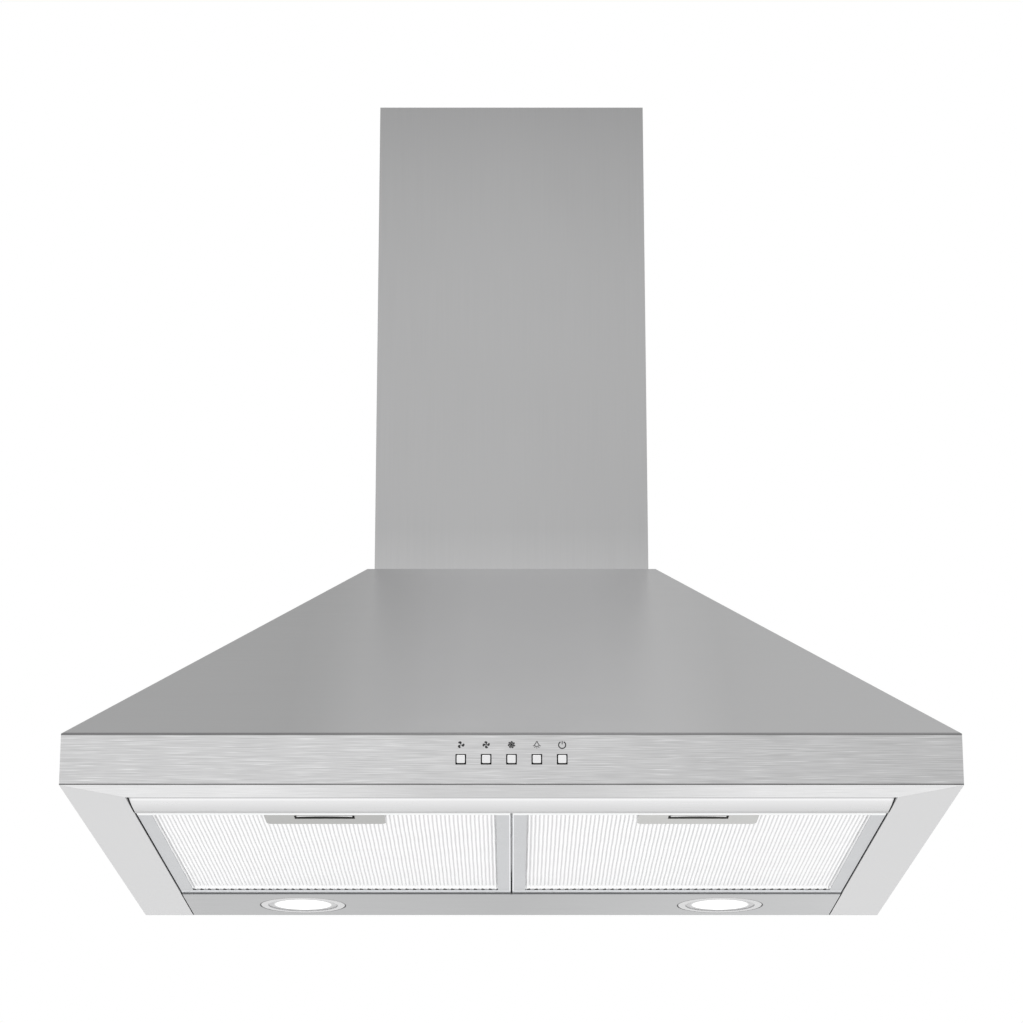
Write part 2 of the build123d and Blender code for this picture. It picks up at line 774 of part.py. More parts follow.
# Damper flaps: half discs with knuckles that take turns along the pin
for side, name, starts in ((-1, "damper_flap_front", (-2, 0)), (1, "damper_flap_rear", (-1, 1))):
    with BuildPart() as damper_flap:
        with BuildSketch(Plane((0, duct_y, pin_z - flap_sheet))):
            Circle(collar_bore - flap_clearance)
            with Locations((0, side * (flap_setback - collar_radius))):
                Rectangle(2 * collar_radius, 2 * collar_radius, mode=Mode.SUBTRACT)
        extrude(amount=flap_sheet)
        for start in starts:
            low = start * knuckle_length + end_play
            high = (start + 1) * knuckle_length - end_play
            with BuildSketch(Plane((low, duct_y, pin_z), x_dir=(0, 1, 0), z_dir=(1, 0, 0))) as knuckle:
                Circle(knuckle_radius)
            extrude(knuckle.sketch, amount=high - low)
            web_y = (duct_y, duct_y + side * (flap_setback + flap_sheet))
            block((low, high), web_y, (pin_z - flap_sheet, pin_z))
        round_hole(Plane((0, duct_y, pin_z), z_dir=(1, 0, 0)), pin_radius + knuckle_gap, collar_radius)
    save(damper_flap, name)

# Terminal box on the back plate, its cover and the cable gland on its top
with BuildPart() as terminal_box:
    box_limits_x = (box_x - box_width / 2, box_x + box_width / 2)
    block(box_limits_x, (-sheet - box_depth, -sheet), (box_z, box_z + box_height))
    fillet(terminal_box.edges().filter_by(Axis.Y), soft_edge)
    cavity_x = (box_limits_x[0] + box_wall, box_limits_x[1] - box_wall)
    cavity_y = (-sheet - box_depth - overrun, -sheet - box_wall)
    block(cavity_x, cavity_y, (box_z + box_wall, box_z + box_height - box_wall), Mode.SUBTRACT)
    gland_plane = Plane((box_x, -sheet - box_depth / 2, box_z + box_height))
    round_hole(gland_plane, gland_neck, overrun)
save(terminal_box, "terminal_box")

with BuildPart() as terminal_box_cover:
    cover_y = (-sheet - box_depth - box_wall, -sheet - box_depth)
    block(box_limits_x, cover_y, (box_z, box_z + box_height))
    fillet(terminal_box_cover.edges().filter_by(Axis.Y), soft_edge)
    plug_y = (-sheet - box_depth, -sheet - box_depth + box_wall)
    plug_x = (cavity_x[0] + mitre_gap, cavity_x[1] - mitre_gap)
    plug_z = (box_z + box_wall + mitre_gap, box_z + box_height - box_wall - mitre_gap)
    block(plug_x, plug_y, plug_z)
save(terminal_box_cover, "terminal_box_cover")

with BuildPart() as cable_gland:
    with BuildSketch(gland_plane):
        RegularPolygon(gland_radius, 6)
    extrude(amount=gland_height / 2)
    with BuildSketch(gland_plane.offset(gland_height / 2)):
        Circle(gland_radius * gland_cap_share)
    extrude(amount=gland_height / 2)
    with BuildSketch(gland_plane):
        Circle(gland_neck)
    extrude(amount=-overrun)
    round_hole(gland_plane, gland_bore, gland_height + overrun)
save(cable_gland, "cable_gland")

# Motor capacitor in its clamp, and the lamps' driver, both on the back plate
capacitor_y = -sheet - clamp_sheet - capacitor_radius
capacitor_plane = Plane((capacitor_x, capacitor_y, capacitor_z))
with BuildPart() as capacitor:
    with BuildSketch(capacitor_plane):
        Circle(capacitor_radius)
    extrude(amount=capacitor_height)
    fillet(capacitor.edges().filter_by(GeomType.CIRCLE), soft_edge)
save(capacitor, "capacitor")

with BuildPart() as capacitor_clamp:
    clamp_z = capacitor_z + (capacitor_height - clamp_height) / 2
    with BuildSketch(Plane((capacitor_x, capacitor_y, clamp_z))):
        Circle(capacitor_radius + clamp_sheet)
        with Locations((0, capacitor_radius + clamp_sheet / 2)):
            Rectangle(2 * capacitor_radius + clamp_foot, clamp_sheet)
        Circle(capacitor_radius, mode=Mode.SUBTRACT)
    extrude(amount=clamp_height)
save(capacitor_clamp, "capacitor_clamp")

with BuildPart() as lamp_driver:
    driver_y = (-sheet - driver_depth, -sheet)
    driver_limits_x = (driver_x - driver_width / 2, driver_x + driver_width / 2)
    driver_limits_z = (driver_z, driver_z + driver_height)
    block(driver_limits_x, driver_y, driver_limits_z)
    fillet(lamp_driver.edges().filter_by(Axis.Y), soft_edge)
    ear_half = driver_width / 2 + driver_ear
    block((driver_x - ear_half, driver_x + ear_half), (-sheet - box_wall, -sheet), driver_limits_z)
    for side in (-1, 1):
        ear_x = driver_x + side * (driver_width / 2 + driver_ear / 2)
        ear_plane = Plane((ear_x, -sheet, driver_z + driver_height / 2), z_dir=(0, 1, 0))
        round_hole(ear_plane, screw_hole_radius, overrun)
save(lamp_driver, "lamp_driver")

# Switch body behind the fascia, its bracket and the five push buttons
switch_front = fascia_back + switch_setback
switch_base = button_height - switch_height / 2
with BuildPart() as switch_body:
    switch_y = (switch_front, switch_front + switch_depth)
    block((-switch_length / 2, switch_length / 2), switch_y, (switch_base, switch_base + switch_height))
    fillet(switch_body.edges().filter_by(Axis.Y), soft_edge)
    with BuildSketch(Plane.XZ.offset(-switch_front)):
        with Locations(*[(x, button_height) for x in button_places]):
            Rectangle(well_size, well_size)
    extrude(amount=-well_depth, mode=Mode.SUBTRACT)
save(switch_body, "switch_body")

with BuildPart() as switch_bracket:
    bracket_half = switch_length / 2 + bracket_sheet
    bracket_z = switch_base + switch_height
    for side in (-1, 1):
        cheek_x = (side * bracket_half, side * switch_length / 2)
        block(cheek_x, (fascia_back, switch_y[1]), (switch_base, bracket_z))
        ear_limits = (side * bracket_half, side * (bracket_half + weld_flange))
        block(ear_limits, (fascia_back, fascia_back + bracket_sheet), (switch_base, bracket_z - soft_edge))
    roof_z = (bracket_z, bracket_z + bracket_sheet)
    block((-bracket_half, bracket_half), (fascia_back + 2 * sheet, switch_y[1]), roof_z)
save(switch_bracket, "switch_bracket")

speed_names = ["button_speed_low", "button_speed_medium", "button_speed_high"]
button_names = speed_names + ["button_light", "button_power"]
for x, name in zip(button_places, button_names):
    with BuildPart() as button:
        cap_y = (front - button_proud, front - button_proud + cap_length)
        cap_x = (x - button_size / 2, x + button_size / 2)
        block(cap_x, cap_y, (button_height - button_size / 2, button_height + button_size / 2))
        fillet(button.edges().filter_by(Axis.Y), button_radius)
        fillet(button.faces().sort_by(Axis.Y)[0].edges(), button_radius / 2)
        stem_end = switch_front + well_depth - button_travel - stem_clearance
        stem_x = (x - stem_size / 2, x + stem_size / 2)
        stem_z = (button_height - stem_size / 2, button_height + stem_size / 2)
        block(stem_x, (cap_y[1], stem_end), stem_z)
    save(button, name)


def lamp_side(side):
    """Plane through a lamp's middle whose X points up from the lamp's seat."""
    return Plane((side * lamp_spacing / 2, -lamp_from_wall, panel_top), x_dir=(0, 0, 1), z_dir=(0, 1, 0))


# Lamps: bezel with its sleeve, domed lens, finned housing and two spring clips each
for side, word in ((-1, "left"), (1, "right")):
    lamp = lamp_side(side)
    with BuildPart() as lamp_bezel:
        bezel_outline = [
            (-sheet, lens_radius + bezel_face),
            (-sheet, bezel_radius - sheet),
            (-bezel_face, bezel_radius),
            (0, bezel_radius),
            (0, sleeve_radius),
            (sleeve_height, sleeve_radius),
            (sleeve_height, lens_radius - sheet),
            (lens_thickness, lens_radius - sheet),
            (lens_thickness, lens_radius + bezel_face),
        ]
        turned(lamp, bezel_outline)
    save(lamp_bezel, f"lamp_{word}_bezel")
    with BuildPart() as lamp_lens:
        with BuildSketch(lamp) as lens_half:
            with BuildLine():
                Line((lens_thickness, 0), (-sheet + bezel_face, 0))
                dome = (-bezel_face, lens_radius)
                ThreePointArc((-sheet + bezel_face, 0), (-sheet * 2 / 3, lens_radius / 2), dome)
                Line(dome, (lens_thickness, lens_radius))
                Line((lens_thickness, lens_radius), (lens_thickness, 0))
            make_face()
        revolve(lens_half.sketch, axis=Axis(lamp.origin, lamp.x_dir))
    save(lamp_lens, f"lamp_{word}_lens")
    with BuildPart() as lamp_housing:
        cup_top = sleeve_height + cup_height
        cup_outline = [(sleeve_height, 0), (sleeve_height, sleeve_radius)]
        fin_pitch = cup_height / fin_count
        for i in range(fin_count):
            base = sleeve_height + i * fin_pitch
            cup_outline.append((base + fin_pitch / 2, sleeve_radius))
            cup_outline.append((base + fin_pitch / 2, sleeve_radius - fin_depth))
            if i < fin_count - 1:
                cup_outline.append((base + fin_pitch, sleeve_radius - fin_depth))
                cup_outline.append((base + fin_pitch, sleeve_radius))
        cup_outline.append((cup_top, sleeve_radius - fin_depth))
        cup_outline.append((cup_top, 0))
        turned(lamp, cup_outline)
    save(lamp_housing, f"lamp_{word}_housing")
    with BuildPart() as lamp_clips:
        for end in (-1, 1):
            lamp_x = side * lamp_spacing / 2
            foot = lamp_x + end * (sleeve_radius + clip_reach)
            root = lamp_x + end * sleeve_radius
            clip_low = panel_top
            clip_high = panel_top + sleeve_height
            clip_y = (-lamp_from_wall - clip_width / 2, -lamp_from_wall + clip_width / 2)
            clip_outline = [
                (root, clip_high),
                (root, clip_high - clip_reach / 2),
                (root + end * clip_sheet, clip_high - clip_reach / 2),
                (root + end * clip_sheet, clip_high - 2 * clip_sheet),
                (foot - end * clip_sheet, clip_low),
                (foot, clip_low),
                (root + end * clip_sheet, clip_high),
            ]
            pressed(Plane.XZ.offset(-clip_y[1]), clip_outline, clip_width)
    save(lamp_clips, f"lamp_{word}_clips")

# Grease filters: folded frame with rear tabs, ribbed mesh, recessed handle and sliding latch
groove_low = filter_base + filter_sheet
groove_high = filter_top - filter_sheet
handle_front = filter_front + filter_border
handle_rear = handle_front + handle_depth
pocket_rear = handle_rear - slot_setback
lip_y = handle_front + slot_setback + latch_lip
mesh_low = groove_low + 2 * filter_sheet
for side, word in ((-1, "left"), (1, "right")):
    middle = side * filter_x
    filter_left = middle - filter_width / 2
    filter_right = middle + filter_width / 2
    tongue_x = (middle - tongue_width / 2 - mitre_gap, middle + tongue_width / 2 + mitre_gap)
    tongue_z = (latch_base - mitre_gap, latch_base + latch_sheet + mitre_gap)
    with BuildPart() as filter_frame:
        block((filter_left, filter_right), (filter_front, filter_rear), (filter_base, filter_top))
        open_x = (filter_left + filter_border, filter_right - filter_border)
        open_y = (filter_front + filter_border, filter_rear - filter_border)
        block(open_x, open_y, (filter_base - overrun, filter_top + overrun), Mode.SUBTRACT)
        groove_x = (filter_left + filter_sheet, filter_right - filter_sheet)
        groove_y = (filter_front + filter_sheet, filter_rear - filter_sheet)
        block(groove_x, groove_y, (groove_low, groove_high), Mode.SUBTRACT)
        block(tongue_x, (filter_front - overrun, filter_front + sheet), tongue_z, Mode.SUBTRACT)
        tab_low = seat_top + tab_clearance
        for end in (-1, 1):
            tab_x = middle + end * tab_place_share * filter_width
            tab_limits = (tab_x - tab_width / 2, tab_x + tab_width / 2)
            tab_y = (filter_rear - filter_sheet, filter_rear + tab_reach)
            block(tab_limits, tab_y, (tab_low, tab_low + tab_thickness))
    save(filter_frame, f"filter_{word}_frame")

    # The mesh is a sheet folded into ribs that run from front to back
    with BuildPart() as filter_mesh:
        mesh_left = groove_x[0] + mesh_inset
        mesh_pitch = (groove_x[1] - mesh_inset - mesh_left) / rib_count
        lower_points = []
        upper_points = []
        for i in range(rib_count + 1):
            edge = mesh_left + i * mesh_pitch
            lower_points.append((edge, mesh_low))
            upper_points.append((edge, mesh_low + mesh_sheet))
            if i < rib_count:
                crest = edge + mesh_pitch / 2
                lower_points.append((crest, mesh_low + rib_height - mesh_sheet))
                upper_points.append((crest, mesh_low + rib_height))
        mesh_plane = Plane.XZ.offset(-(groove_y[1] - mesh_inset))
        mesh_length = groove_y[1] - groove_y[0] - 2 * mesh_inset
        pressed(mesh_plane, lower_points + upper_points[::-1], mesh_length)
        notch_x = (middle - pocket_width / 2 - sheet, middle + pocket_width / 2 + sheet)
        notch_y = (filter_front - overrun, pocket_rear + sheet)
        block(notch_x, notch_y, (filter_base, filter_top), Mode.SUBTRACT)
    save(filter_mesh, f"filter_{word}_mesh")

    with BuildPart() as filter_handle:
        with BuildSketch(Plane.XY.offset(filter_base)):
            with Locations((middle, (handle_front + handle_rear) / 2)):
                RectangleRounded(handle_width, handle_depth, handle_radius)
        extrude(amount=filter_sheet)
        # A tongue reaches over the frame's bottom flange, and walls and a roof enclose the latch
        pocket_left = middle - pocket_width / 2
        pocket_right = middle + pocket_width / 2
        pocket_front = groove_y[0] + mitre_gap
        pocket_top = groove_high - mitre_gap
        pocket_x = (pocket_left, pocket_right)
        block(pocket_x, (pocket_front, pocket_rear), (groove_low, pocket_top))
        hollow_x = (pocket_left + pocket_wall, pocket_right - pocket_wall)
        hollow_y = (pocket_front + pocket_wall, pocket_rear - pocket_wall)
        block(hollow_x, hollow_y, (groove_low + pocket_wall, pocket_top - pocket_wall), Mode.SUBTRACT)
        slot_x = (middle - slot_width / 2, middle + slot_width / 2)
        slot_y = (handle_front + slot_setback, handle_front + slot_setback + slot_depth)
        block(slot_x, slot_y, (filter_base - overrun, groove_low + pocket_wall), Mode.SUBTRACT)
        block(tongue_x, (pocket_front - overrun, pocket_front + pocket_wall), tongue_z, Mode.SUBTRACT)
    save(filter_handle, f"filter_{word}_handle")

    with BuildPart() as filter_latch:
        latch_rear = pocket_rear - pocket_wall - latch_travel - mitre_gap
        latch_front = pocket_front + pocket_wall + mitre_gap
        plate_z = (latch_base, latch_base + latch_sheet)
        block((middle - latch_width / 2, middle + latch_width / 2), (latch_front, latch_rear), plate_z)
        tip = rail_rear + tongue_clearance
        block((middle - tongue_width / 2, middle + tongue_width / 2), (tip, latch_front), plate_z)
        lip_limits = (handle_front + slot_setback + mitre_gap, lip_y)
        lip_low = filter_base + mitre_gap
        block((middle - latch_width / 2, middle + latch_width / 2), lip_limits, (lip_low, latch_base))
    save(filter_latch, f"filter_{word}_latch")
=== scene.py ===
from math import radians

import bpy
import numpy as np
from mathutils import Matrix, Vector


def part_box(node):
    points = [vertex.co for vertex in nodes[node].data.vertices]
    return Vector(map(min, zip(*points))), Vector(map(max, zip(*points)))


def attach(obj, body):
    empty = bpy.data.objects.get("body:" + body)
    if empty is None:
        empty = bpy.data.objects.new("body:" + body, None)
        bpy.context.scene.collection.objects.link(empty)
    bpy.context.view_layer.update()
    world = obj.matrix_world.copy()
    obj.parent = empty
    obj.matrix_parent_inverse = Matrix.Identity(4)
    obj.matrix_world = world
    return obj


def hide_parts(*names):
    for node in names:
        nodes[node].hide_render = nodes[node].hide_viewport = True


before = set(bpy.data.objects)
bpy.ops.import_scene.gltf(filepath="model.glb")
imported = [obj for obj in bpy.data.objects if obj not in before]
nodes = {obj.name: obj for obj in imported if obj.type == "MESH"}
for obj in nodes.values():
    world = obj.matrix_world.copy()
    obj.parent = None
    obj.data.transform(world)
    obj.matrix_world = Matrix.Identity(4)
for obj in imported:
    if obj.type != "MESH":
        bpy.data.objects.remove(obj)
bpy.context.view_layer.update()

MM = 0.001

# Places read from the frame
FASCIA_LOW, FASCIA_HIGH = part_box("front_fascia")
FRONT = FASCIA_LOW[1]
CANOPY_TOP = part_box("canopy_shell")[1][2]
CHIMNEY_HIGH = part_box("chimney_lower")[1]
PANEL_LOW, PANEL_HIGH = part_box("lamp_panel")
RAIL_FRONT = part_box("front_rail")[0][1]
FRAME_LOW, FRAME_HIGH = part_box("filter_left_frame")
HANDLE_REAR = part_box("filter_left_handle")[1][1]
RIBS_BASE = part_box("filter_left_mesh")[0][2]
BUTTONS = ["button_speed_low", "button_speed_medium", "button_speed_high", "button_light", "button_power"]
BUTTON_BOXES = [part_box(name) for name in BUTTONS]
LENS_LOW, LENS_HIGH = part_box("lamp_right_lens")

# Lengths on the pieces that the finishes follow. A hair is how far past a face a mask reaches.
HAIR = 0.2 * MM
FRONT_BORDER = 10.2 * MM
REAR_BORDER = 18.0 * MM
BORDER_EDGE = FRAME_HIGH[1] - REAR_BORDER
SLOT_FROM_REAR = 17.5 * MM
SLOT_REAR = HANDLE_REAR - SLOT_FROM_REAR
BUTTON_RIM = 0.78 * MM
RIM_REACH = (BUTTON_BOXES[0][1][0] - BUTTON_BOXES[0][0][0]) / 2 + BUTTON_RIM
CAP_FACE = 0.8 * MM
FASCIA_BEND = 1.0 * MM
RAIL_HIDDEN = 16.0 * MM
RAIL_DEPTH = 36.0 * MM
CREST_FROM_JOINT = 1.5 * MM
JOINT_FOLD = 0.9 * MM
CHIMNEY_FOOT = 35.0 * MM


# Shader maths

class Wire:
    """A shader socket whose operators add Math nodes."""

    def __init__(self, shop, socket):
        self.shop = shop
        self.socket = socket

    def math(self, operation, *values):
        return self.shop.node("ShaderNodeMath", {"operation": operation}, values)

    def __add__(self, other):
        return self.math("ADD", self, other)

    def __radd__(self, other):
        return self.math("ADD", other, self)

    def __sub__(self, other):
        return self.math("SUBTRACT", self, other)

    def __rsub__(self, other):
        return self.math("SUBTRACT", other, self)

    def __mul__(self, other):
        return self.math("MULTIPLY", self, other)

    def __truediv__(self, other):
        return self.math("DIVIDE", self, other)

    def __pow__(self, other):
        return self.math("POWER", self, other)

    def __abs__(self):
        return self.math("ABSOLUTE", self)

    def below(self, limit):
        return self.math("LESS_THAN", self, limit)

    def above(self, limit):
        return self.math("GREATER_THAN", self, limit)

    def larger(self, other):
        return self.math("MAXIMUM", self, other)

    def smaller(self, other):
        return self.math("MINIMUM", self, other)

    def sine(self):
        return self.math("SINE", self)

    def clamped(self):
        return self.shop.node("ShaderNodeClamp", {}, {"Value": self})

    def ramp(self, start, end):
        """0 at the start and 1 at the end, even in between and held beyond both."""
        return ((self - start) / (end - start)).clamped()


class Shop:
    """A node tree with one method that adds any node."""

    def __init__(self, tree):
        self.tree = tree
        tree.nodes.clear()

    def node(self, kind, settings, inputs, output=0):
        """Add a node, set it up, fill its inputs with values or wires and return an output."""
        made = self.tree.nodes.new(kind)
        for key, value in settings.items():
            setattr(made, key, value)
        pairs = inputs.items() if isinstance(inputs, dict) else enumerate(inputs)
        for key, value in pairs:
            if isinstance(value, Wire):
                self.tree.links.new(value.socket, made.inputs[key])
            else:
                made.inputs[key].default_value = value
        return Wire(self, made.outputs[output]) if output is not None else None

    def place(self):
        """Object coordinates in metres, as a vector wire."""
        return self.node("ShaderNodeTexCoord", {}, {}, "Object")

    def parts(self, vector):
        """The X, Y and Z of a vector as three wires."""
        split = self.node("ShaderNodeSeparateXYZ", {}, {"Vector": vector})
        outputs = split.socket.node.outputs
        return [Wire(self, outputs[i]) for i in range(3)]

    def ray(self, kind):
        """1 where the light path is of the given kind."""
        return self.node("ShaderNodeLightPath", {}, {}, kind)

    def scaled(self, vector, factors):
        """A vector times three factors."""
        return self.node("ShaderNodeVectorMath", {"operation": "MULTIPLY"}, (vector, factors))

    def noise(self, vector, factors, detail=2.0, roughness=0.5):
        """Noise whose cells are one over the factors long, from 0 to 1."""
        place = self.scaled(vector, factors)
        inputs = {"Vector": place, "Scale": 1.0, "Detail": detail, "Roughness": roughness}
        return self.node("ShaderNodeTexNoise", {}, inputs)

    def tint(self, colour, amount):
        """A colour times a number that varies over the surface."""
        bright = self.node("ShaderNodeCombineXYZ", {}, (amount, amount, amount))
        return self.node("ShaderNodeVectorMath", {"operation": "MULTIPLY"}, (bright, colour))

    def bump(self, height, distance, strength):
        """A normal that the height tilts, as if it stood out by the distance."""
        inputs = {"Height": height, "Distance": distance, "Strength": strength}
        return self.node("ShaderNodeBump", {}, inputs)


def material(name, build):
    """Make a material whose build function returns the inputs of its Principled shader."""
    made = bpy.data.materials.new(name)
    made.use_nodes = True
    shop = Shop(made.node_tree)
    shader = shop.node("ShaderNodeBsdfPrincipled", {}, build(shop), "BSDF")
    shop.node("ShaderNodeOutputMaterial", {}, {"Surface": shader}, None)
    return made


# Finishes

def steel(name, tone, roughness, grain, strength, sparks=0.0, shade=None):
    """Brushed steel: streaks run along the axis with the small grain factor, a few of them bright."""
    def build(shop):
        place = shop.place()
        fine = shop.noise(place, grain, 2.0, 0.6)
        scratch = shop.noise(place, tuple(factor * 1.3 for factor in grain), 1.0, 0.5)
        spark = ((scratch - 0.6) * 7.0).clamped()
        smudge = shop.noise(place, (7.0, 7.0, 7.0), 2.0, 0.5)
        light = 1 + (fine - 0.5) * strength + spark * sparks + (smudge - 0.5) * 0.04
        if shade:
            light = light * shade(shop, place)
        return {
            "Base Color": shop.tint(tone, light),
            "Metallic": 1.0,
            "Roughness": (roughness + (fine - 0.5) * 0.16 + (smudge - 0.5) * 0.06).clamped(),
            "Normal": shop.bump(fine, 0.04 * MM, 0.25),
        }
    return material(name, build)


def plastic(name, tone, roughness, pebble=900.0):
    """Moulded plastic with a fine spark-eroded grain and faint mottling."""
    def build(shop):
        place = shop.place()
        grain = shop.noise(place, (pebble,) * 3, 2.0, 0.5)
        mottle = shop.noise(place, (30.0,) * 3, 2.0, 0.5)
        return {
            "Base Color": shop.tint(tone, 0.96 + mottle * 0.08),
            "Roughness": (roughness + (grain - 0.5) * 0.12).clamped(),
            "Normal": shop.bump(grain, 0.05 * MM, 0.3),
        }
    return material(name, build)


def metal(name, tone, roughness, scale=300.0, strength=0.12, shade=None):
    """Plain metal: a fine isotropic grain with some cloudiness, as on plated or cast pieces."""
    def build(shop):
        place = shop.place()
        grain = shop.noise(place, (scale,) * 3, 3.0, 0.6)
        cloud = shop.noise(place, (25.0,) * 3, 2.0, 0.5)
        light = 1 + (grain - 0.5) * strength + (cloud - 0.5) * 0.08
        if shade:
            light = light * shade(shop, place)
        return {
            "Base Color": shop.tint(tone, light),
            "Metallic": 1.0,
            "Roughness": (roughness + (grain - 0.5) * 0.15).clamped(),
            "Normal": shop.bump(grain, 0.03 * MM, 0.3),
        }
    return material(name, build)


def galvanised(name, tone):
    """Zinc spangle: cells of slightly different tone and gloss."""
    def build(shop):
        place = shop.place()
        spangle = shop.node("ShaderNodeTexVoronoi", {}, {"Vector": place, "Scale": 160.0}, "Color")
        red = shop.node("ShaderNodeSeparateColor", {}, {"Color": spangle})
        cloud = shop.noise(place, (18.0,) * 3, 2.0, 0.5)
        return {
            "Base Color": shop.tint(tone, 0.9 + red * 0.16 + (cloud - 0.5) * 0.08),
            "Metallic": 1.0,
            "Roughness": (0.34 + red * 0.14).clamped(),
        }
    return material(name, build)


def canopy_shade(shop, place):
    """Painted light and shade: the left and the flanks of the pyramid are darker, its foot, the bands and the
    returns lighter, and the seam above the fascia is a dark line of painted shadow."""
    x, y, z = shop.parts(place)
    left = x.ramp(-30.0 * MM, -130.0 * MM)
    flank_shade = abs(x).ramp(60.0 * MM, 150.0 * MM)
    foot = z.ramp(CANOPY_TOP, 36.0 * MM)
    low = z.below(2 * HAIR)
    band_light = z.below(FASCIA_HIGH[2] + 0.8 * MM)
    seam = z.below(FASCIA_HIGH[2] + 1.7 * MM) * z.above(FASCIA_HIGH[2] - HAIR / 2)
    seam = seam * y.below(FRONT + 1.5 * MM)
    wall = (1.03 - left * 0.21 + foot * 0.08) * (1 - flank_shade * 0.22) * (1 - seam * 0.55)
    return wall * (1 - low) * (1 + band_light * 0.22) + low * RETURN_PAINTED_LIGHT


def chimney_shade(shop, place):
    """Painted light and shade: the cover is lighter at its foot, even in the middle and darker near its top.
    """
    x, y, z = shop.parts(place)
    rise = z.ramp(CANOPY_TOP, CHIMNEY_HIGH[2])
    foot = z.ramp(CANOPY_TOP + CHIMNEY_FOOT, CANOPY_TOP)
    return 0.9 + foot * 0.09 - rise ** 3.0 * 0.24 - x.ramp(0.0, CHIMNEY_HIGH[0]) * 0.03


def fascia_shade(shop, place):
    """Painted shade and light: the face darkens a little towards the right, along its lower bend, in the seam
    at its top and round the buttons' holes, and the return is lighter."""
    x, y, z = shop.parts(place)
    under = z.below(HAIR / 4)
    bend = z.below(FASCIA_BEND) * (1 - under)
    seam = z.above(FASCIA_HIGH[2] - 0.5 * MM)
    nearest = abs(x)
    for low, high in BUTTON_BOXES:
        nearest = nearest.smaller(abs(x - (low[0] + high[0]) / 2))
    up = abs(z - (BUTTON_BOXES[0][0][2] + BUTTON_BOXES[0][1][2]) / 2)
    rim_shade = nearest.larger(up).below(RIM_REACH)
    right = x.ramp(-100.0 * MM, FASCIA_HIGH[0])
    face = (0.99 - right * 0.2) * (1 - bend * 0.72) * (1 - seam * 0.6) * (1 - rim_shade * 0.85)
    ends = abs(x).ramp(50.0 * MM, 170.0 * MM)
    return face * (1 - under) + under * (RETURN_MIDDLE + ends * RETURN_ENDS)


def rail_shade(shop, place):
    """Painted shade and highlight: the rolled strip is dark in the joint at its front, brightest just behind
    it and greyer at its rear.
    """
    x, y, z = shop.parts(place)
    start = RAIL_FRONT + RAIL_HIDDEN
    joint = y.ramp(start - HAIR, start - HAIR - 1.0 * MM)
    back = y.ramp(start, start + RAIL_DEPTH)
    crest_highlight = abs(y - (start + CREST_FROM_JOINT)).ramp(3.5 * MM, 1.5 * MM)
    return (1.15 - back * 0.36 + crest_highlight * 0.12) * (1 - joint * 0.42)


def panel_shade(shop, place):
    """Painted light and shade: a little lighter towards the right, and dark on the turned-up front edge."""
    x, y, z = shop.parts(place)
    edge = z.above(0.25 * MM) * y.below(PANEL_LOW[1] + 2 * HAIR)
    sides = abs(x).ramp(0.0, PANEL_HIGH[0])
    right = x.ramp(0.0, PANEL_HIGH[0])
    return (1.02 + sides * 0.08 + right * 0.22) * (1 - edge * 0.2)


def frame_shade(shop, place):
    """Painted light: the borders along the rail and along the lamp panel are lighter than those at the sides,
    and painted highlights lighten the folds on both sides of the joint between the filters."""
    x, y, z = shop.parts(place)
    low = z.below(FRAME_LOW[2] + 0.3 * MM)
    front = y.below(FRAME_LOW[1] + FRONT_BORDER) * low
    rear = y.above(BORDER_EDGE - HAIR) * low
    fold = abs(x).below(JOINT_FOLD - FRAME_HIGH[0])
    return 1 + (front * 0.76).larger(rear * 0.4).larger(fold * 0.7)


def handle_shade(shop, place):
    """Painted light and shade: the handle on the right is lighter than the other, as if it caught more light,
    and the slots' rear walls are dark.
    """
    x, y, z = shop.parts(place)
    wall = abs(y - SLOT_REAR).below(HAIR) * z.above(FRAME_LOW[2] + HAIR)
    return (1.09 + x.above(0.0) * 0.28) * (1 - wall * 0.6)


def button_shade(shop, place):
    """The sides of the caps are dark, as in the shadow of their holes."""
    x, y, z = shop.parts(place)
    return 1 - y.above(FRONT - CAP_FACE) * 0.75


# Tones

STEEL = (0.46, 0.46, 0.463)
# Painted light and shade: the fascia, rail and panel are the same steel as the canopy and chimney, each given
# its own lighter or darker tone.
FASCIA = (0.62, 0.62, 0.624)
RAIL = (0.76, 0.76, 0.765)
PANEL = (0.42, 0.424, 0.428)
# Painted light: factors that make the canopy's returns lighter than its walls, and the fascia's return darker
# in its middle and lighter at its ends.
RETURN_PAINTED_LIGHT = 1.56
RETURN_MIDDLE = 0.96
RETURN_ENDS = 0.35

